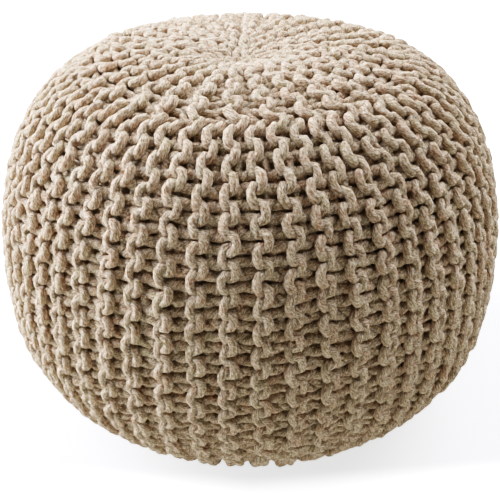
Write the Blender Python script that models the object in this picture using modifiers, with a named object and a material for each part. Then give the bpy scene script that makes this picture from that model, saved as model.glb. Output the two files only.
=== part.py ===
"""Knitted pouf: one cover knitted of thick cotton cord, filled and gathered shut at both poles.

The whole piece is one closed, filled solid. Its knitted ribs run from pole to pole, every other
one only as far as the edge of the crown. They sink into a gathered dimple at the top, a little in
front of the middle, and end on a flat patch where the pouf rests on the floor.
Metres, +Z up, origin at the middle of the flat patch.
"""
import math

import bpy
from mathutils import Matrix

# Driving sizes
DIAMETER = 0.500          # across the crests of the ribs at the widest place
CROWN_RISE = 0.2245       # widest place up to the crown, before the gather sinks in
BELLY_DROP = 0.1594       # widest place down to where the belly would close
REST_HEIGHT = 0.150       # widest place above the floor that flattens the belly
GATHER_DEPTH = 0.0100     # how far the top gather is drawn in
GATHER_WIDTH = 0.0350     # how far out the draw is felt
GATHER_PLACE = (-0.008, -0.036)  # where the cover is drawn shut, from the middle of the crown

# How square the outline is: 2 is an ellipse, more is boxier
CROWN_SQUARENESS = (4.14, 2.02)
BELLY_SQUARENESS = (2.53, 2.42)

# Ribs
RIBS = 60
POINTS_PER_RIB = 4
RIB_DEPTH = 0.0085        # crest to valley, halfway up the side
RIB_TURN = 2.2            # degrees from the front to the nearest crest, towards +X
RIB_START_RADIUS = 0.030  # the ribs are lost in the gather inside this radius
RIB_FULL_RADIUS = 0.120
SHORT_RIB_RADIUS = 0.139  # every other rib ends at this distance from the gather
SHORT_RIB_FADE = 0.020
RIB_FLOOR_FADE = 0.022    # height over which the ribs rise from the flat patch

# Fineness of the outline
OUTLINE_SAMPLES = 400
CROWN_RINGS = 14
BELLY_RINGS = 7
JOIN_DISTANCE = 0.00005   # points nearer than this are one point

OATMEAL = (0.51, 0.42, 0.31, 1.0)


def clear_scene():
    for thing in list(bpy.data.objects):
        bpy.data.objects.remove(thing, do_unlink=True)


def smooth_step(value, start, end):
    part = min(max((value - start) / (end - start), 0.0), 1.0)
    return part * part * (3.0 - 2.0 * part)


def superellipse(turn, reach, rise, squareness):
    """A point at a quarter-turn parameter: out by the first power, up by the second."""
    out = reach * math.sin(turn) ** (2.0 / squareness[0])
    up = rise * math.cos(turn) ** (2.0 / squareness[1])
    return out, up


def crown_outline():
    """The crest outline above the widest place, as (radius, height), from the gather outward."""
    points = []
    for step in range(OUTLINE_SAMPLES + 1):
        turn = (math.pi / 2.0) * (step / OUTLINE_SAMPLES) ** 2
        out, up = superellipse(turn, DIAMETER / 2.0, CROWN_RISE, CROWN_SQUARENESS)
        points.append((out, REST_HEIGHT + up))
    return points


def crown_height(radius):
    """The height of the crest outline above the widest place, at a radius."""
    level = 1.0 - min(radius / (DIAMETER / 2.0), 1.0) ** CROWN_SQUARENESS[0]
    return REST_HEIGHT + CROWN_RISE * level ** (1.0 / CROWN_SQUARENESS[1])


def belly_outline():
    """The crest outline from the widest place down to the edge of the flat patch."""
    points = []
    for step in range(OUTLINE_SAMPLES):
        turn = (math.pi / 2.0) * (1.0 - step / OUTLINE_SAMPLES)
        out, drop = superellipse(turn, DIAMETER / 2.0, BELLY_DROP, BELLY_SQUARENESS)
        if drop < REST_HEIGHT:
            points.append((out, REST_HEIGHT - drop))
    level = (REST_HEIGHT / BELLY_DROP) ** BELLY_SQUARENESS[1]
    patch_radius = DIAMETER / 2.0 * (1.0 - level) ** (1.0 / BELLY_SQUARENESS[0])
    points.append((patch_radius, 0.0))
    return points


def evenly_spaced(points, count):
    """The same outline as count points that lie the same distance apart along it."""
    lengths = [0.0]
    for before, after in zip(points, points[1:]):
        lengths.append(lengths[-1] + math.dist(before, after))
    spaced = []
    place = 0
    for number in range(count):
        wanted = lengths[-1] * number / (count - 1)
        while place < len(points) - 2 and lengths[place + 1] < wanted:
            place += 1
        part = (wanted - lengths[place]) / (lengths[place + 1] - lengths[place])
        low, high = points[place], points[place + 1]
        spaced.append((low[0] + part * (high[0] - low[0]), low[1] + part * (high[1] - low[1])))
    return spaced


def turned_body(name):
    """The smooth body, turned from its outline with a Screw modifier and made a mesh."""
    rings = evenly_spaced(crown_outline(), CROWN_RINGS)
    rings += evenly_spaced(belly_outline(), BELLY_RINGS + 1)[1:]
    profile = [(radius, 0.0, height) for radius, height in rings]
    profile.append((0.0, 0.0, 0.0))
    edges = [(number, number + 1) for number in range(len(profile) - 1)]
    outline = bpy.data.meshes.new(name + "_outline")
    outline.from_pydata(profile, edges, [])
    turned = bpy.data.objects.new(name, outline)
    bpy.context.scene.collection.objects.link(turned)

    screw = turned.modifiers.new("turn", "SCREW")
    screw.axis = "Z"
    screw.angle = 2.0 * math.pi
    screw.steps = RIBS * POINTS_PER_RIB
    screw.render_steps = RIBS * POINTS_PER_RIB
    screw.use_merge_vertices = True
    screw.merge_threshold = JOIN_DISTANCE

    depsgraph = bpy.context.evaluated_depsgraph_get()
    mesh = bpy.data.meshes.new_from_object(turned.evaluated_get(depsgraph))
    bpy.data.objects.remove(turned, do_unlink=True)
    bpy.data.meshes.remove(outline)
    return mesh


def outward(radius, height):
    """Direction straight out of the smooth body, as its part along the radius and its part up."""
    over = height > REST_HEIGHT
    rise = CROWN_RISE if over else BELLY_DROP
    across, along = CROWN_SQUARENESS if over else BELLY_SQUARENESS
    reach = DIAMETER / 2.0
    far = min(radius / reach, 1.0)
    high = min(abs(height - REST_HEIGHT) / rise, 1.0)
    push_out = across * far ** (across - 1.0) / reach
    push_up = along * high ** (along - 1.0) / rise
    length = math.hypot(push_out, push_up)
    return push_out / length, (push_up if over else -push_up) / length


def valley_between_ribs(turn, radius):
    """How far a place lies into a valley, 0 on a crest and 1 at the bottom between two ribs."""
    all_ribs = 0.5 - 0.5 * math.cos(RIBS * turn)
    long_ribs = 0.5 - 0.5 * math.cos(RIBS / 2.0 * turn)
    share = smooth_step(radius, SHORT_RIB_RADIUS, SHORT_RIB_RADIUS + SHORT_RIB_FADE)
    return share * all_ribs + (1.0 - share) * long_ribs


def knit_surface(mesh):
    """Draws the crown shut at its gather and sinks the valleys; the crests keep the outline."""
    for vertex in mesh.vertices:
        from_gather = math.hypot(vertex.co.x, vertex.co.y)
        turn = math.atan2(vertex.co.y, vertex.co.x) - math.radians(RIB_TURN)
        height = vertex.co.z
        if height > REST_HEIGHT:
            move = (1.0 - (from_gather / (DIAMETER / 2.0)) ** 2.5) ** 2
            vertex.co.x += GATHER_PLACE[0] * move
            vertex.co.y += GATHER_PLACE[1] * move
            vertex.co.z = crown_height(math.hypot(vertex.co.x, vertex.co.y))
        radius = math.hypot(vertex.co.x, vertex.co.y)
        slope_out, slope_up = outward(radius, vertex.co.z)
        if height > REST_HEIGHT:
            vertex.co.z -= GATHER_DEPTH * math.exp(-(from_gather / GATHER_WIDTH) ** 2)
        if from_gather < RIB_START_RADIUS:
            continue
        depth = RIB_DEPTH * valley_between_ribs(turn, from_gather)
        depth *= smooth_step(from_gather, RIB_START_RADIUS, RIB_FULL_RADIUS)
        depth *= smooth_step(height, 0.0, RIB_FLOOR_FADE)
        shrink = (radius - depth * slope_out) / radius
        vertex.co.x *= shrink
        vertex.co.y *= shrink
        vertex.co.z -= depth * slope_up


def cotton_material():
    material = bpy.data.materials.new("oatmeal_cotton")
    material.use_nodes = True
    shader = material.node_tree.nodes["Principled BSDF"]
    shader.inputs["Base Color"].default_value = OATMEAL
    shader.inputs["Roughness"].default_value = 0.95
    shader.inputs["Metallic"].default_value = 0.0
    return material


def knit_cover(collection):
    mesh = turned_body("knit_cover")
    mesh.transform(Matrix.Rotation(math.radians(RIB_TURN), 4, "Z"))
    knit_surface(mesh)
    mesh.materials.clear()
    mesh.materials.append(cotton_material())
    mesh.shade_smooth()
    cover = bpy.data.objects.new("knit_cover", mesh)
    collection.objects.link(cover)


def build():
    clear_scene()
    collection = bpy.data.collections.new("knitted_pouf")
    bpy.context.scene.collection.children.link(collection)
    knit_cover(collection)


build()
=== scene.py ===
import math

import bpy
import numpy as np
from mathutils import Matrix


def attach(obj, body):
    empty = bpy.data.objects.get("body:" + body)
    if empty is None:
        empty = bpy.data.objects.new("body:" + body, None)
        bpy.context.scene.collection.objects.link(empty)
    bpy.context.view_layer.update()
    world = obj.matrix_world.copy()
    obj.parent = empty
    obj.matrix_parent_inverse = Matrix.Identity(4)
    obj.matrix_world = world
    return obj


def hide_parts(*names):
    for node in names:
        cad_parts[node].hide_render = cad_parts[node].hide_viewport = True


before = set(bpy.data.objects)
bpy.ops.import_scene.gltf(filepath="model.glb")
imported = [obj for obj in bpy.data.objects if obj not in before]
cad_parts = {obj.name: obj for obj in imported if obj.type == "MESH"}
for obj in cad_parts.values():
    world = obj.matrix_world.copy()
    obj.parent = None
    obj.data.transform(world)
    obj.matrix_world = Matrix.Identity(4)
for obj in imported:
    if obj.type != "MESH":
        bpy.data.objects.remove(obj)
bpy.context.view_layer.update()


# The camera stands in front of the pouf, about a stride away, and looks down on its upper half.
# Its aim and lens are the photograph's, worked out from the pouf's outline.
WIDEST_HEIGHT = 0.150     # where the pouf is widest, above the floor
CAMERA_DISTANCE = 0.750   # from the middle of the pouf at that height
CAMERA_ELEVATION = math.radians(31.15)

camera = bpy.data.objects.new("camera", bpy.data.cameras.new("camera"))
bpy.context.scene.collection.objects.link(camera)
bpy.context.scene.camera = camera
camera.data.lens = 50.10
camera.data.shift_x = -0.0005
camera.data.shift_y = -0.0071
camera.location = (
    0.0,
    -CAMERA_DISTANCE * math.cos(CAMERA_ELEVATION),
    WIDEST_HEIGHT + CAMERA_DISTANCE * math.sin(CAMERA_ELEVATION),
)
camera.rotation_euler = (math.pi / 2.0 - CAMERA_ELEVATION, 0.0, 0.0)


# The filling in the deep side of the knit: the stuffed, bag-like inside of the cover, which shows
# between the courses as cotton in shade, partly real shade and partly painted shade in its colour. It
# is filled cloth, so it is blown up a little by simulation, and it rises a little into the hollow
# behind each rib.
REACH = 0.250             # from the axis to the widest place
CROWN_RISE = 0.2245       # widest place up to the crown, before the gather
BELLY_DROP = 0.1594       # widest place down to where the belly would close
CROWN_SQUARENESS = (4.14, 2.02)  # how square the outline is: 2 is an ellipse, more is boxier
BELLY_SQUARENESS = (2.53, 2.42)
OUTLINE_SAMPLES = 1500    # of the crown's outline, and as many of the belly's
OUTLINE_SPACING = 0.0005  # between the points that are then laid evenly along the whole of it
FLOOR_ROUNDING = 0.012    # how softly the belly turns under at the floor
ROUNDED_HEIGHT = 0.04     # how high up that is felt
GATHER_PLACE = (-0.008, -0.036)  # where the cover is drawn shut, from the middle of the crown
GATHER_DEPTH = 0.0100     # how far the top gather is drawn in
GATHER_WIDTH = 0.0350
GATHER_PIT = (0.003, 0.010)  # how much deeper its very middle lies, and how wide that is
RIBS = 60
RIB_TURN = math.radians(2.2)  # from the front to the nearest rib
FILLING_DEPTH = 0.0086    # under the crests of the ribs, in the furrows between them
CROWN_FULLNESS = 0.0002   # how much nearer it lies to the knit on the crown
FULLNESS_END = 0.180      # how far from the middle of the crown it is back to the usual depth
FULLNESS_FADE = 0.040
RIDGE_HEIGHT = 0.0015     # how far it rises into a rib
RIDGE_START = 0.18        # from the axis
RIDGE_FADE = 0.04
RIDGE_FOOT = 0.02         # above the floor
FILLING_RINGS = 90
FILLING_SECTORS = 180
JOIN_DISTANCE = 0.0001    # points nearer than this are one point
VOXEL = 0.006
PRESSURE = 4.0
STIFFNESS = 40.0
SWELLING_FRAMES = 20
SWELLING = 0.003          # how far the simulation may push the filling out


def superellipse(turn, rise, squareness):
    out = REACH * np.sin(turn) ** (2.0 / squareness[0])
    up = rise * np.cos(turn) ** (2.0 / squareness[1])
    return out, up


def rounded_off(values):
    """Values along the outline, each one averaged with its neighbours, with both ends held."""
    reach = int(FLOOR_ROUNDING / OUTLINE_SPACING)
    window = np.hanning(2 * reach + 1) / np.hanning(2 * reach + 1).sum()
    ends = (np.full(reach, values[0]), np.full(reach, values[-1]))
    return np.convolve(np.concatenate([ends[0], values, ends[1]]), window, "valid")


def pouf_outline():
    """The crests' outline from the middle of the crown over the widest place to the middle of the
    base: distance along it, radius, height, and the outward direction's parts along both."""
    turn = (math.pi / 2.0) * np.linspace(0.0, 1.0, OUTLINE_SAMPLES) ** 2
    out, up = superellipse(turn, CROWN_RISE, CROWN_SQUARENESS)
    turn = (math.pi / 2.0) * np.linspace(1.0, 0.0, OUTLINE_SAMPLES)[1:]
    under_out, drop = superellipse(turn, BELLY_DROP, BELLY_SQUARENESS)
    standing = drop < WIDEST_HEIGHT
    radius = np.concatenate([out, under_out[standing], [0.0]])
    height = np.concatenate([up, -drop[standing], [-WIDEST_HEIGHT]]) + WIDEST_HEIGHT

    # evenly spaced points, with the sharp turn at the floor rounded off
    length = np.concatenate([[0.0], np.cumsum(np.hypot(np.diff(radius), np.diff(height)))])
    along = np.arange(0.0, length[-1], OUTLINE_SPACING)
    radius, height = np.interp(along, length, radius), np.interp(along, length, height)
    soft_radius, soft_height = rounded_off(radius), rounded_off(height)
    low = height < ROUNDED_HEIGHT
    radius, height = np.where(low, soft_radius, radius), np.where(low, soft_height, height)
    run, drop = np.gradient(radius), np.gradient(height)
    size = np.hypot(run, drop)
    return along, radius, height, -drop / size, run / size


ALONG, RADIUS, HEIGHT, OUTWARD, UPWARD = pouf_outline()
WHOLE_LENGTH = ALONG[-1]
WIDEST = int(np.argmax(RADIUS))


def node(tree, kind, values=(), **settings):
    """A shader node with its settings, and values or links for its inputs by name or number."""
    made = tree.nodes.new("ShaderNode" + kind)
    for name, value in settings.items():
        setattr(made, name, value)
    for name, value in dict(values).items():
        if isinstance(value, bpy.types.NodeSocket):
            tree.links.new(value, made.inputs[name])
        else:
            made.inputs[name].default_value = value
    return made


def colour_ramp(tree, factor, stops):
    ramp = node(tree, "ValToRGB", {"Fac": factor})
    for number, (place, colour) in enumerate(stops):
        stop = ramp.color_ramp.elements[number] if number < 2 else ramp.color_ramp.elements.new(place)
        stop.position = place
        stop.color = (*colour, 1.0)
    return ramp.outputs["Color"]


def noise(tree, place, scale, detail, roughness=0.5):
    sockets = {"Vector": place, "Scale": scale, "Detail": detail, "Roughness": roughness}
    return node(tree, "TexNoise", sockets).outputs["Fac"]


def cotton_in_painted_shade():
    """The same cotton with painted shade in its colour: patchy, matt and a tone deeper, as it looks
    out of the light.
    """
    material = bpy.data.materials.new("cotton_in_painted_shade")
    material.use_nodes = True
    tree = material.node_tree
    shader = tree.nodes["Principled BSDF"]
    place = node(tree, "TexCoord").outputs["Object"]
    patches = noise(tree, place, 130.0, 4.0)
    # painted shade: the cotton's browns without its palest fibres, a tone deeper than the cord's
    colour = colour_ramp(tree, patches, [
        (0.35, (0.42, 0.31, 0.20)),
        (0.65, (0.62, 0.49, 0.34)),
    ])
    fibres = noise(tree, place, 900.0, 3.0)
    bump = node(tree, "Bump", {"Height": fibres, "Strength": 0.6, "Distance": 0.001})
    tree.links.new(colour, shader.inputs["Base Color"])
    tree.links.new(bump.outputs["Normal"], shader.inputs["Normal"])
    shader.inputs["Roughness"].default_value = 1.0
    shader.inputs["Specular IOR Level"].default_value = 0.1
    return material


def swell(piece):
    """Blows the filling up with cloth pressure, holds each point near where it started and keeps
    the result in the mesh."""
    count = len(piece.data.vertices)
    before = np.empty(count * 3)
    piece.data.vertices.foreach_get("co", before)
    cloth = piece.modifiers.new("swelling", "CLOTH")
    cloth.settings.use_pressure = True
    cloth.settings.uniform_pressure_force = PRESSURE
    cloth.settings.effector_weights.gravity = 0.0
    cloth.settings.tension_stiffness = STIFFNESS
    for number in range(1, SWELLING_FRAMES + 1):
        bpy.context.scene.frame_set(number)
    depsgraph = bpy.context.evaluated_depsgraph_get()
    after = np.empty(count * 3)
    piece.evaluated_get(depsgraph).data.vertices.foreach_get("co", after)
    piece.modifiers.remove(cloth)
    bpy.context.scene.frame_set(1)
    move = (after - before).reshape(-1, 3)
    size = np.linalg.norm(move, axis=1, keepdims=True)
    move *= np.minimum(1.0, SWELLING / np.maximum(size, 1e-9))
    piece.data.vertices.foreach_set("co", before + move.ravel())
    piece.data.update()


def fit_under_ribs(piece):
    """Raises the filling into the back of each rib, and draws it in under the gather."""
    count = len(piece.data.vertices)
    place = np.empty(count * 3)
    normal = np.empty(count * 3)
    piece.data.vertices.foreach_get("co", place)
    piece.data.vertices.foreach_get("normal", normal)
    place, normal = place.reshape(-1, 3), normal.reshape(-1, 3)
    radius = np.hypot(place[:, 0], place[:, 1])
    turn = np.arctan2(place[:, 0], -place[:, 1])
    ridge = 0.5 + 0.5 * np.cos(RIBS * (turn - RIB_TURN))
    strength = np.clip((radius - RIDGE_START) / RIDGE_FADE, 0.0, 1.0) * (place[:, 2] > RIDGE_FOOT)
    place += normal * (RIDGE_HEIGHT * ridge * strength)[:, None]
    gap = np.hypot(place[:, 0] - GATHER_PLACE[0], place[:, 1] - GATHER_PLACE[1])
    draw = GATHER_DEPTH * np.exp(-(gap / GATHER_WIDTH) ** 2)
    draw = draw + GATHER_PIT[0] * np.exp(-(gap / GATHER_PIT[1]) ** 2)
    place[:, 2] -= draw * (place[:, 2] > WIDEST_HEIGHT)
    piece.data.vertices.foreach_set("co", place.ravel())
    piece.data.update()


bpy.ops.object.select_all(action="DESELECT")
steps = np.linspace(0, len(ALONG) - 1, FILLING_RINGS).astype(int)
depth = FILLING_DEPTH + SWELLING
depth = depth - CROWN_FULLNESS * np.clip((FULLNESS_END - ALONG[steps]) / FULLNESS_FADE, 0.0, 1.0)
ring_out = np.maximum(RADIUS[steps] - depth * OUTWARD[steps], 0.0)
ring_up = HEIGHT[steps] - depth * UPWARD[steps]
ring_out[0] = ring_out[-1] = 0.0
points = [(float(out), 0.0, float(up)) for out, up in zip(ring_out, ring_up)]
profile = bpy.data.meshes.new("knit_filling")
profile.from_pydata(points, [(n, n + 1) for n in range(len(points) - 1)], [])
filling = bpy.data.objects.new("knit_filling", profile)
bpy.context.scene.collection.objects.link(filling)
bpy.context.view_layer.objects.active = filling
filling.select_set(True)
bpy.ops.object.modifier_add(type="SCREW")
screw = filling.modifiers[-1]
screw.steps = screw.render_steps = FILLING_SECTORS
screw.use_merge_vertices = True
screw.merge_threshold = JOIN_DISTANCE
bpy.ops.object.modifier_apply(modifier=screw.name)
bpy.ops.object.modifier_add(type="REMESH")
remesh = filling.modifiers[-1]
remesh.mode = "VOXEL"
remesh.voxel_size = VOXEL
bpy.ops.object.modifier_apply(modifier=remesh.name)
swell(filling)
fit_under_ribs(filling)
bpy.ops.object.shade_smooth()
filling.data.materials.clear()
filling.data.materials.append(cotton_in_painted_shade())
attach(filling, "root")
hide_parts("knit_cover")


# The knit itself: one thick cotton cord in garter stitch, knitted sideways, so that each course runs
# from the top pole to the bottom one. Each course hooks into its neighbours, and two courses make a
# rib: the heads of one and the feet of the next bulge out side by side.
COURSES = 2 * RIBS
PANELS = 12
CORD = 0.0074             # across the cord
CORD_SIDES = 8            # faces round it
SEGMENTS = 15             # lengths of cord to a stitch
LOOP_SAMPLES = 721        # of one stitch, to find where they lie
CORD_WELD = 0.00001       # closes each cord's ends
BAKE_ROWS = 3             # in which each course is laid out on its map for baking
BAKE_ROW_START = 0.005    # shares of the map's width and of a row's height
BAKE_ROW_LENGTH = 0.985
BAKE_ROW_GAP = 0.04
BAKE_ROW_HEIGHT = 0.92

# How the stitches lie along a course
STITCH = 0.0201           # from stitch to stitch
SHOULDER_STRETCH = 0.0044 # how much longer the stitches are drawn over the shoulder
SHOULDER_PLACE = 0.205    # where they are longest, along the cover from the widest place up
SHOULDER_WIDTH = 0.045
CROWN_CLOSENESS = 0.0022  # how much closer they lie on the crown
CROWN_START = 0.235       # where that begins, measured in the same way
CROWN_FADE = 0.030
RINGS_START = 0.05        # stitches by which their rings lie above the widest place
RINGS_RISE = 0.40         # and by which they lie higher on the right than in front

# One loop
OFFSET = 0.0046           # how far a head or foot passes over the middle of its rib
OFFSET_PITCH = 0.0115     # where the courses lie closer than this, it passes less far over
LOOP_REACH = 0.0105       # how far a loop reaches to each side at the widest place
RELIEF = 0.0052           # how far the cord swings out and in of the middle of the cloth
BACK_RELIEF = 0.4         # how much of that it swings in behind
SWEEP = 0.75              # how square a loop is across: 1 is a cosine
LEANS = (1.0, 1.3)        # how far a loop doubles back along the course, high up and low down
LEAN_START = -8.0         # stitches from the widest place, 8 above it, where that begins to change
LEAN_FADE = 6.0           # and stitches over which it does
LEGS = 0.10               # how far a loop's legs draw together
DIVE = 4.0                # how steeply the cord dives behind its neighbour
DIVE_START = 0.40
DIVE_EASE = 0.15          # how much of a plain wave is in that dive
LEG_SWELL = 0.22          # how much thicker the legs are than the heads and feet
CROWN_SWELL = -0.12       # and how much more so on the crown
CROWN_SWELL_START = 0.175 # from the axis
CROWN_SWELL_FADE = 0.030

# The ends of the ribs and of the courses
SHORT_RIB_ENDS = (0.139, 0.100)  # how far from the top and bottom gathers every other rib ends
SHORT_RIB_SPREAD = 0.0025
SHORT_RIB_FADE = 0.022
GATHER_PITCH = 0.0098     # the long ribs keep this width by the gathers, and the rest sink under
GATHER_FADE = 5.0         # ribs that sink together
GATHER_SHUFFLE = 1.5      # ribs by which their order is shuffled
GATHER_DRAWING = 2.5      # the higher, the further out the crown is drawn over with its gather
GATHER_DIP = 0.005        # how far the courses' ends turn down into the gather
GATHER_DIP_WIDTH = 0.008
COURSE_ENDS = (0.002, 0.004)  # how far short of the top and bottom poles a course stops
AXIS_GAP = 0.0005         # no point lies nearer to the axis
CLOSEST_PITCH = 0.002     # and no two courses lie closer
SKIN = 0.0004             # how far under the outline the cord's crests lie
SUNK_DEPTH = 0.014        # how deep a rib lies that has sunk under the others
SUNK_POWER = 1.5
HIDDEN_SHARE = 0.06       # where a rib has less than this of its width, it is left out

# Unevenness
STITCH_SPREADS = (0.0009, 0.0007, 0.0007, 0.05)  # along, across, in depth and in thickness
SWAYS = (0.0010, 0.0009)  # slow unevenness along and across
SWAY_WAVES = 14
SWAY_RADIUS = 0.03        # it is held back nearer to the axis
THICKNESS_SPREAD = 0.045  # from point to point of the cord
LUMPS = 0.00022           # and in the place of each point

rng = np.random.default_rng(41)


def smooth_step(value):
    value = np.clip(value, 0.0, 1.0)
    return value * value * (3.0 - 2.0 * value)


def loop(turn, lean):
    """One garter loop at a turn of its course, 2 pi to a stitch: how far along the course in
    stitches, how far across between its feet (-1) and its head (1), and its height (-1 to 1)."""
    swing = np.cos(turn)
    along = (turn + lean * np.sin(2.0 * turn) - LEGS * np.sin(turn)) / (2.0 * math.pi)
    across = np.sign(swing) * np.abs(swing) ** SWEEP
    steep = np.abs(swing) ** DIVE
    height = np.sign(swing) * steep / (steep + DIVE_START ** DIVE) * (1.0 + DIVE_START ** DIVE)
    return along, across, (1.0 - DIVE_EASE) * height + DIVE_EASE * swing


def even_turns():
    """The turns of one stitch at which its points lie evenly along the cord, and the length of cord
    in it."""
    turn = np.linspace(0.0, 2.0 * math.pi, LOOP_SAMPLES)
    along, across, height = loop(turn, LEANS[0])
    steps = np.diff([along * STITCH, across * LOOP_REACH, height * RELIEF])
    length = np.concatenate([[0.0], np.cumsum(np.linalg.norm(steps, axis=0))])
    wanted = np.arange(SEGMENTS) / SEGMENTS * length[-1]
    return np.interp(wanted, length, turn), length[-1]


STITCH_TURNS, STITCH_CORD = even_turns()


def sinking_order():
    """An order for the long ribs in which each next one lies far from those before, found by
    turning the digits of their binary numbers about. Near a gather the last ones sink first."""
    places = []
    for number in range(32):
        bits = int(f"{number:05b}"[::-1], 2)
        if bits < RIBS // 2:
            places.append(bits)
    order = np.empty(RIBS // 2)
    order[places] = np.arange(RIBS // 2)
    return order + rng.uniform(-GATHER_SHUFFLE, GATHER_SHUFFLE, RIBS // 2)


SINKING_ORDER = sinking_order()
SHORT_RIB_UNEVENNESS = rng.normal(0.0, SHORT_RIB_SPREAD, RIBS // 2)


def rib_shares(along):
    """How much of its full width each rib keeps at each distance along a course. Every other rib is
    short, and the long ones crowd together at the gathers."""
    radius = np.interp(along, ALONG, RADIUS)[:, None]
    ends = np.where(along < ALONG[WIDEST], *SHORT_RIB_ENDS)[:, None] + SHORT_RIB_UNEVENNESS
    shares = np.empty((len(along), RIBS))
    shares[:, 0::2] = smooth_step((radius - ends) / SHORT_RIB_FADE + 0.5)
    room = 2.0 * math.pi * radius / GATHER_PITCH
    shares[:, 1::2] = smooth_step((room - SINKING_ORDER) / GATHER_FADE + 0.5)
    return shares


def turn_at(place, shares):
    """The azimuth of a place among the courses, such as 7.5 for halfway from course 7 to 8, where
    the sunken ribs leave their room to the others."""
    total = shares.sum(1)
    centres = (np.cumsum(shares, axis=1) - shares / 2.0) / total[:, None]
    drift = (centres - (np.arange(RIBS) + 0.5) / RIBS)[:, 1::2].mean(1)
    wrapped = np.floor(place / COURSES)
    place = place - wrapped * COURSES
    part = np.clip(place[:, None] - np.arange(COURSES), 0.0, 1.0)
    reached = (np.repeat(shares, 2, axis=1) * part).sum(1) / (2.0 * total)
    return 2.0 * math.pi * (wrapped + reached - drift)


def on_cover(along, turn, depth):
    """Points at a distance along a course from the gather, at an azimuth about the gather and at a
    depth under the crests. The cover of the crown is drawn over towards its gather."""
    reach = np.interp(along, ALONG, RADIUS)
    over = along < ALONG[WIDEST]
    drawn = np.where(over, (1.0 - np.minimum(reach / REACH, 1.0) ** GATHER_DRAWING) ** 2, 0.0)
    x = reach * np.sin(turn) + GATHER_PLACE[0] * drawn
    y = -reach * np.cos(turn) + GATHER_PLACE[1] * drawn
    radius = np.maximum(np.hypot(x, y), AXIS_GAP)
    spot = np.where(over, np.interp(radius, RADIUS[:WIDEST + 1], ALONG[:WIDEST + 1]), along)
    shrink = np.maximum(radius - depth * np.interp(spot, ALONG, OUTWARD), AXIS_GAP) / radius
    level = np.interp(spot, ALONG, HEIGHT) - depth * np.interp(spot, ALONG, UPWARD)
    level = level - over * GATHER_DEPTH * np.exp(-(reach / GATHER_WIDTH) ** 2)
    return np.stack([x * shrink, y * shrink, level], 1)


def stitches_along(turn):
    """How many stitches of the course at an azimuth lie between the widest place and each point of
    the outline: fewer than none above it."""
    path = on_cover(ALONG, np.full_like(ALONG, turn), 0.0)
    steps = np.linalg.norm(np.diff(path, axis=0, prepend=path[:1]), axis=1)
    over = np.cumsum(steps)
    over = over[WIDEST] - over
    length = STITCH + SHOULDER_STRETCH * np.exp(-((over - SHOULDER_PLACE) / SHOULDER_WIDTH) ** 2)
    length = length - CROWN_CLOSENESS * smooth_step((over - CROWN_START) / CROWN_FADE)
    count = np.cumsum(steps / length)
    return count - count[WIDEST] + RINGS_RISE * math.sin(turn) + RINGS_START


def sway(turn, along, seed, size):
    """Slow, seeded unevenness over the cover."""
    waves = np.random.default_rng(seed)
    total = np.zeros_like(along)
    for _ in range(SWAY_WAVES):
        around = waves.integers(2, 24)
        down = waves.uniform(8.0, 60.0)
        start = waves.uniform(0.0, 2.0 * math.pi)
        total += np.sin(around * turn + down * along + start)
    return size * total / math.sqrt(SWAY_WAVES / 2.0)


def stitch_unevenness(turns, spread, count):
    """A random amount for each stitch, which blends into the next stitch's along the course."""
    amounts = rng.normal(0.0, spread, count + 2)
    place = turns / (2.0 * math.pi) + 0.5
    number = np.floor(place).astype(int)
    return amounts[number] + (amounts[number + 1] - amounts[number]) * smooth_step(place - number)


def course_points(number):
    """The middle of the cord along one course, and its thickness at each point."""
    stitches = stitches_along(2.0 * math.pi * number / COURSES)
    first = math.floor(stitches[0])
    count = int(stitches[-1]) - first + 1
    turns = (STITCH_TURNS[None, :] + 2.0 * math.pi * np.arange(count)[:, None]).ravel()
    low = smooth_step((first + turns / (2.0 * math.pi) - LEAN_START) / LEAN_FADE)
    along, across, height = loop(turns, LEANS[0] + (LEANS[1] - LEANS[0]) * low)
    uneven = [stitch_unevenness(turns, spread, count) for spread in STITCH_SPREADS]
    along = np.interp(first + along, stitches, ALONG, left=0.0, right=2.0 * WHOLE_LENGTH) + uneven[0]
    heads_out = number % 2 == 0
    height = height if heads_out else -height
    height = np.where(height < 0.0, height * BACK_RELIEF, height)

    inside = (along > COURSE_ENDS[0]) & (along < WHOLE_LENGTH - COURSE_ENDS[1])
    along, across, height = along[inside], across[inside], height[inside]
    uneven = [amount[inside] for amount in uneven]
    shares = rib_shares(along)
    radius = np.interp(along, ALONG, RADIUS)
    pitch = np.maximum(math.pi * radius / shares.sum(1), CLOSEST_PITCH)
    offset = (OFFSET + uneven[1]) * np.minimum(1.0, pitch / OFFSET_PITCH)
    place = number + 0.5 + across * (0.5 + offset / pitch)
    turn = turn_at(place, shares) + RIB_TURN - math.pi / RIBS
    along = along + sway(turn, along, 5, SWAYS[0])
    turn = turn + sway(turn, along, 6, SWAYS[1]) / np.maximum(radius, SWAY_RADIUS)

    share = shares[:, number // 2]
    depth = SKIN + CORD / 2.0 + RELIEF * (1.0 - height) + uneven[2]
    depth = depth + SUNK_DEPTH * (1.0 - share) ** SUNK_POWER
    depth = depth + GATHER_DIP * smooth_step(1.0 - radius / GATHER_DIP_WIDTH)
    crown = smooth_step((CROWN_SWELL_START - radius) / CROWN_SWELL_FADE) * (along < ALONG[WIDEST])
    thick = 1.0 + uneven[3] + (LEG_SWELL + CROWN_SWELL * crown) * (1.0 - np.abs(across))
    kept = share > HIDDEN_SHARE
    thick = thick * (1.0 + rng.normal(0.0, THICKNESS_SPREAD, len(thick)))
    points = on_cover(along, turn, depth) + rng.normal(0.0, LUMPS, (len(thick), 3))
    return points[kept], thick[kept]


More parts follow.
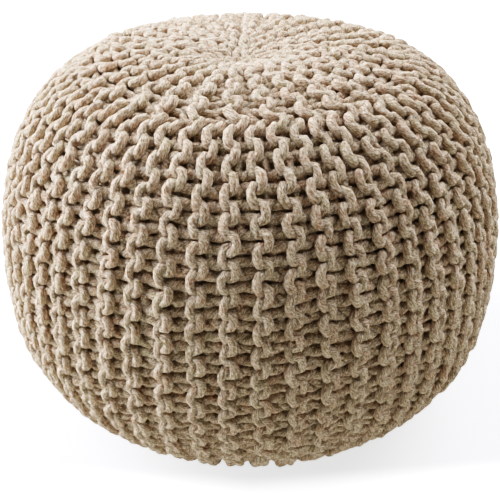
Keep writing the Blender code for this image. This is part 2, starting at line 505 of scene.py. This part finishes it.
def course_of_cord(number):
    """One course as a round cord."""
    points, thick = course_points(number)
    cord = bpy.data.curves.new(f"course_{number:03d}", "CURVE")
    cord.dimensions = "3D"
    cord.bevel_depth = CORD / 2.0
    cord.bevel_resolution = CORD_SIDES // 2 - 2
    cord.use_fill_caps = True
    spline = cord.splines.new("POLY")
    spline.points.add(len(points) - 1)
    spline.points.foreach_set("co", np.column_stack([points, np.ones(len(points))]).ravel())
    spline.points.foreach_set("radius", thick)
    spline.use_smooth = True
    course = bpy.data.objects.new(cord.name, cord)
    bpy.context.scene.collection.objects.link(course)
    return course


def lay_out(course, row, rows):
    """Gives a course's mesh two maps. On the one named Cord, x runs in stitches along the cord and y
    once around it. On the one named OFBake the cord lies in rows, one under another."""
    mesh = course.data
    count = len(mesh.loops)
    spread = np.empty(count * 2)
    mesh.uv_layers[0].data.foreach_get("uv", spread)
    spread = spread.reshape(-1, 2)
    rings = len(mesh.vertices) / CORD_SIDES - 2.0  # besides its two end caps
    length = (rings - 1.0) / SEGMENTS
    spread[:, 0] *= length
    mesh.uv_layers[0].name = "Cord"
    mesh.uv_layers["Cord"].data.foreach_set("uv", spread.ravel())

    # each course is cut into a few rows, a little apart, where its faces begin
    starts = np.empty(len(mesh.polygons), int)
    mesh.polygons.foreach_get("loop_start", starts)
    first = np.minimum.reduceat(spread[:, 0], starts)
    sizes = np.diff(np.append(starts, count))
    part = np.floor((first + 1e-4) / length * BAKE_ROWS)
    part = np.repeat(np.minimum(part, BAKE_ROWS - 1), sizes)
    flat = np.empty_like(spread)
    flat[:, 0] = (spread[:, 0] / length * BAKE_ROWS - part) * BAKE_ROW_LENGTH + BAKE_ROW_START
    flat[:, 1] = row * BAKE_ROWS + part + BAKE_ROW_GAP + BAKE_ROW_HEIGHT * spread[:, 1]
    flat[:, 1] /= rows * BAKE_ROWS
    mesh.uv_layers.new(name="OFBake").data.foreach_set("uv", np.clip(flat, 0.0, 1.0).ravel())


# The cotton: pattern scales are per metre
FIBRE_TWIST = 0.040       # length of cord in which its fibres go once round it
FIBRE_DRAW = 0.60         # less than 1 draws the streaks out along the fibres
FIBRE_SCALE = 900.0
FLECK_SCALE = 480.0
FLECK_NOISE = (0.60, 0.72)  # the noise at which the dark flecks begin and are full
FLECK_STRENGTH = 0.75
FLECK_COLOUR = (0.17, 0.10, 0.06, 1.0)
PATCH_SCALE = 90.0
PLY_WAVES = 1.5           # waves to a turn of the fibres: each has two plies, so there are three
FIBRE_COLOURS = [
    (0.35, (0.22, 0.128, 0.069)),
    (0.50, (0.54, 0.403, 0.272)),
    (0.65, (0.88, 0.768, 0.615)),
]
PATCH_TINTS = [
    (0.30, (0.97, 1.00, 0.93)),
    (0.50, (1.00, 1.00, 1.00)),
    (0.70, (1.00, 0.90, 0.86)),
]


def worked_out(tree, operation, *values):
    """What a Math node makes of values or links."""
    return node(tree, "Math", dict(enumerate(values)), operation=operation).outputs[0]


def mapped(tree, value, start, end, low, high, **settings):
    """A link's value from start to end brought to low to high."""
    sockets = {"Value": value, 1: start, 2: end, 3: low, 4: high}
    return node(tree, "MapRange", sockets, **settings).outputs[0]


def mixed(tree, share, first, second, way="MIX"):
    """Two colours, of which the second has the share given."""
    sockets = {0: share, 6: first, 7: second}
    return node(tree, "Mix", sockets, data_type="RGBA", blend_type=way).outputs[2]


def cotton_cord():
    """Heathered, softly twisted cotton: cream and oatmeal fibres with brown, rosy and grey ones."""
    material = bpy.data.materials.new("cotton_cord")
    material.use_nodes = True
    tree = material.node_tree
    shader = tree.nodes["Principled BSDF"]

    # a place in the cord: metres along it, and to the side and front of its middle as it twists
    laid = node(tree, "UVMap", uv_map="Cord").outputs["UV"]
    parts = node(tree, "SeparateXYZ", {"Vector": laid})
    metres = worked_out(tree, "MULTIPLY", parts.outputs["X"], STITCH_CORD)
    around = worked_out(tree, "MULTIPLY", parts.outputs["Y"], 2.0 * math.pi)
    twist = worked_out(tree, "MULTIPLY_ADD", metres, 2.0 * math.pi / FIBRE_TWIST, around)
    side = worked_out(tree, "MULTIPLY", worked_out(tree, "SINE", twist), CORD / 2.0)
    front = worked_out(tree, "MULTIPLY", worked_out(tree, "COSINE", twist), CORD / 2.0)
    drawn = worked_out(tree, "MULTIPLY", metres, FIBRE_DRAW)
    along_fibre = node(tree, "CombineXYZ", {"X": drawn, "Y": side, "Z": front}).outputs[0]
    in_cord = node(tree, "CombineXYZ", {"X": metres, "Y": side, "Z": front}).outputs[0]
    place = node(tree, "TexCoord").outputs["Object"]

    fibres = noise(tree, along_fibre, FIBRE_SCALE, 3.0, roughness=0.75)
    lint = noise(tree, in_cord, FIBRE_SCALE, 3.0, roughness=0.75)
    flecks = noise(tree, along_fibre, FLECK_SCALE, 2.0)
    patches = noise(tree, place, PATCH_SCALE, 3.0)
    base = colour_ramp(tree, fibres, FIBRE_COLOURS)
    tint = colour_ramp(tree, patches, PATCH_TINTS)
    tinted = mixed(tree, 1.0, base, tint, "MULTIPLY")
    dark = mapped(tree, flecks, *FLECK_NOISE, 0.0, FLECK_STRENGTH)
    colour = mixed(tree, dark, tinted, FLECK_COLOUR)

    # rounded plies, and the lint that stands off them
    ply = worked_out(tree, "SINE", worked_out(tree, "MULTIPLY", twist, PLY_WAVES))
    ply = worked_out(tree, "ABSOLUTE", ply)
    plies = node(tree, "Bump", {"Height": ply, "Strength": 0.6, "Distance": 0.0012}).outputs[0]
    fuzz = node(tree, "Bump", {
        "Height": lint, "Strength": 0.8, "Distance": 0.0020, "Normal": plies,
    }).outputs[0]
    tree.links.new(colour, shader.inputs["Base Color"])
    tree.links.new(fuzz, shader.inputs["Normal"])
    shader.inputs["Roughness"].default_value = 0.95
    shader.inputs["Subsurface Weight"].default_value = 0.4
    shader.inputs["Subsurface Radius"].default_value = (1.0, 0.85, 0.7)
    shader.inputs["Subsurface Scale"].default_value = 0.0025
    shader.inputs["Specular IOR Level"].default_value = 0.1
    shader.inputs["Sheen Weight"].default_value = 0.12
    shader.inputs["Sheen Roughness"].default_value = 0.5
    return material


cord_finish = cotton_cord()
per_panel = COURSES // PANELS
for panel_number in range(PANELS):
    bpy.ops.object.select_all(action="DESELECT")
    courses = [course_of_cord(panel_number * per_panel + place) for place in range(per_panel)]
    for course in courses:
        course.select_set(True)
    bpy.context.view_layer.objects.active = courses[0]
    bpy.ops.object.convert(target="MESH")
    for row, course in enumerate(courses):
        lay_out(course, row, per_panel)
    bpy.ops.object.join()
    panel = bpy.context.view_layer.objects.active
    panel.name = panel.data.name = f"knit_courses_{panel_number + 1:02d}"
    bpy.ops.object.mode_set(mode="EDIT")
    bpy.ops.mesh.select_all(action="SELECT")
    bpy.ops.mesh.remove_doubles(threshold=CORD_WELD)
    bpy.ops.object.mode_set(mode="OBJECT")

    # what would lie under the floor is pressed flat on it
    places = np.empty(len(panel.data.vertices) * 3)
    panel.data.vertices.foreach_get("co", places)
    places[2::3] = np.maximum(places[2::3], 0.0)
    panel.data.vertices.foreach_set("co", places)
    panel.data.update()
    panel.data.materials.clear()
    panel.data.materials.append(cord_finish)
    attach(panel, "root")
    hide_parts("knit_cover")


# The studio: a plain white floor sheet that glows a little, painted light that keeps shadows on it
# pale, and large round soft boxes at the left, the back and high on the right, which leave the front
# of the pouf in soft shade.
# A white room lights it dimly from all round.
FLOOR_SIZE = 14.0
FLOOR_BOUNCE = (0.66, 0.64, 0.54, 1.0)  # the sheet as it lights the pouf from below
FLOOR_SHADE = (0.60, 0.60, 0.60, 1.0)   # and as the camera sees the light that falls on it
FLOOR_GLOW = 0.95         # what the camera sees of the glow by the pouf's foot
GLOW_RISE = 1.0           # how much more glow it sees in front and far off: painted light that ends the shadow there
FRONT_EDGE = (-0.180, -0.206)  # where that rise begins and ends in front, in the pouf's middle
FRONT_SLANT = 0.1         # how far that falls back for each metre to the side
FAR_EDGE = (0.34, 0.70)   # where it begins and ends far off, from the pouf's middle
WHITE_LEVEL = 2.10        # as bright as this is pure white in the picture
ROOM_GLOW = 0.066
ROOM_COLOUR = (1.0, 0.99, 0.86, 1.0)
RESPONSE_SLOPE = 0.95     # how the camera shows light: value = top / (1 + (middle / light) ** slope)
RESPONSE_MIDDLE = 0.282
RESPONSE_TOP = 1.15
BRIGHTEST_SHOWN = 0.94    # the brightest value that is set on the curve
CURVE_PARTS = 16
CURVE_TOE = 0.03          # how much higher its first point is, so that black isn't overshot
BOX_DISTANCE = 2.6
BOX_SIZE = 2.2
SOFT_BOXES = (            # degrees from the front towards +X, degrees up, watts, colour
    ("low_left_box", 265.0, 18.0, 130.0, (0.95, 1.00, 1.17)),
    ("left_box", 255.0, 36.0, 120.0, (0.96, 1.00, 1.14)),
    ("back_right_box", 120.0, 50.0, 86.0, (0.95, 1.00, 1.14)),
    ("back_box", 180.0, 70.0, 24.0, (1.00, 1.00, 1.02)),
    ("high_right_box", 90.0, 55.0, 22.0, (0.98, 1.00, 1.05)),
)
WHITE = (1.0, 1.0, 1.0, 1.0)


def seen_or_lit(tree, lit, seen):
    """One shader for light that goes on to the pouf, and another for what the picture shows."""
    camera_ray = node(tree, "LightPath").outputs["Is Camera Ray"]
    return node(tree, "MixShader", {0: camera_ray, 1: lit.outputs[0], 2: seen.outputs[0]}).outputs[0]


def studio_floor():
    material = bpy.data.materials.new("white_floor")
    material.use_nodes = True
    tree = material.node_tree
    tree.nodes.clear()
    sheet = node(tree, "BsdfDiffuse", {"Color": FLOOR_BOUNCE})
    shaded = node(tree, "BsdfDiffuse", {"Color": FLOOR_SHADE})
    place = node(tree, "TexCoord").outputs["Object"]
    parts = node(tree, "SeparateXYZ", {"Vector": place})
    aside = worked_out(tree, "ABSOLUTE", parts.outputs["X"])
    depth = worked_out(tree, "MULTIPLY_ADD", aside, -FRONT_SLANT, parts.outputs["Y"])
    # painted light: the floor glows more towards the front and far off, which ends its shadow there
    near = mapped(tree, depth, *FRONT_EDGE, FLOOR_GLOW, FLOOR_GLOW + GLOW_RISE,
                  interpolation_type="SMOOTHSTEP")
    distance = node(tree, "VectorMath", {0: place}, operation="LENGTH").outputs["Value"]
    far = mapped(tree, distance, *FAR_EDGE, 0.0, GLOW_RISE)
    strength = worked_out(tree, "ADD", near, far)
    glow = node(tree, "Emission", {"Color": WHITE, "Strength": strength})
    seen = node(tree, "AddShader", {0: shaded.outputs[0], 1: glow.outputs[0]})
    node(tree, "OutputMaterial", {"Surface": seen_or_lit(tree, sheet, seen)})
    return material


def soft_box(name, azimuth, elevation, power, colour):
    light = bpy.data.lights.new(name, "AREA")
    light.shape = "DISK"
    light.size = BOX_SIZE
    light.energy = power
    light.color = colour
    box = bpy.data.objects.new(name, light)
    bpy.context.scene.collection.objects.link(box)
    azimuth, elevation = math.radians(azimuth), math.radians(elevation)
    box.location = (
        BOX_DISTANCE * math.cos(elevation) * math.sin(azimuth),
        -BOX_DISTANCE * math.cos(elevation) * math.cos(azimuth),
        BOX_DISTANCE * math.sin(elevation) + WIDEST_HEIGHT,
    )
    box.rotation_euler = (math.pi / 2.0 - elevation, 0.0, azimuth)
    box.visible_camera = False


def white_room():
    """Seen by the camera the room is as white as the floor, but it lights the pouf only a little."""
    world = bpy.data.worlds.new("white_room")
    world.use_nodes = True
    tree = world.node_tree
    tree.nodes.clear()
    seen = node(tree, "Background", {"Color": WHITE, "Strength": WHITE_LEVEL})
    dim = node(tree, "Background", {"Color": ROOM_COLOUR, "Strength": ROOM_GLOW})
    node(tree, "OutputWorld", {"Surface": seen_or_lit(tree, dim, seen)})
    return world


def screen_light(shown):
    """The light of a value that a screen shows."""
    return shown / 12.92 if shown < 0.04 else ((shown + 0.055) / 1.055) ** 2.4


def camera_response(view):
    """The contrast of the photograph: deep, warm shadows that rise steeply to soft, pale lights."""
    view.view_transform = "Standard"
    view.use_curve_mapping = True
    mapping = view.curve_mapping
    mapping.white_level = (WHITE_LEVEL, WHITE_LEVEL, WHITE_LEVEL)
    curve = mapping.curves[3]
    for step in range(1, CURVE_PARTS):
        shown = BRIGHTEST_SHOWN * step / CURVE_PARTS + CURVE_TOE * (step == 1)
        light = RESPONSE_MIDDLE * (shown / (RESPONSE_TOP - shown)) ** (1.0 / RESPONSE_SLOPE)
        curve.points.new(light / WHITE_LEVEL, screen_light(shown))
    mapping.update()


bpy.ops.object.select_all(action="DESELECT")
bpy.ops.mesh.primitive_plane_add(size=FLOOR_SIZE, location=(0.0, 0.0, 0.0))
floor = bpy.context.object
floor.name = "studio_floor"
floor.data.materials.append(studio_floor())
for soft_box_row in SOFT_BOXES:
    soft_box(*soft_box_row)

bpy.context.scene.world = white_room()
camera_response(bpy.context.scene.view_settings)
